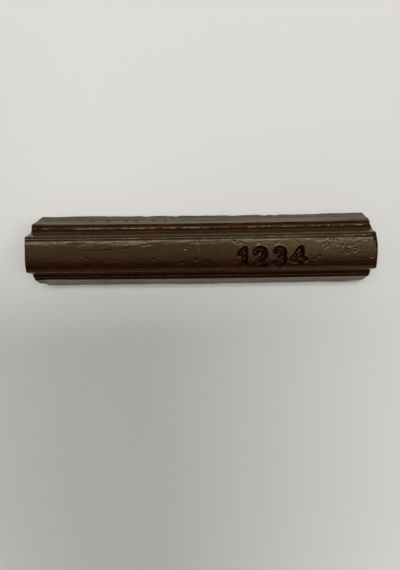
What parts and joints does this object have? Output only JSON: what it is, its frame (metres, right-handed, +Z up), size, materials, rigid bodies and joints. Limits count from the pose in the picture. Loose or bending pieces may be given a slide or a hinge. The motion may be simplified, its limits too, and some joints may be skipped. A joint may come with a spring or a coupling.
{
  "type": "furniture repair wax stick",
  "caption": "Hard wax bar with a crowned band, stepped drafted shoulders and a flat back, melted or rubbed into dents and scratches in wood.",
  "frame": {"origin": "middle of the flat back, on the surface that the stick lies on", "axes": "+X along the stick, towards the end that lies on the right in the picture; +Y across it; +Z up from the flat back to the crowned band"},
  "size_m": [0.08, 0.0174, 0.0118],
  "materials": {
    "hard_wax": "dark brown pigmented hard wax as it left the mould, satin, with faint drag lines, flow lines and pinholes"
  },
  "bodies": {
    "root": {"wax_stick": "hard_wax"}
  },
  "joints": []
}
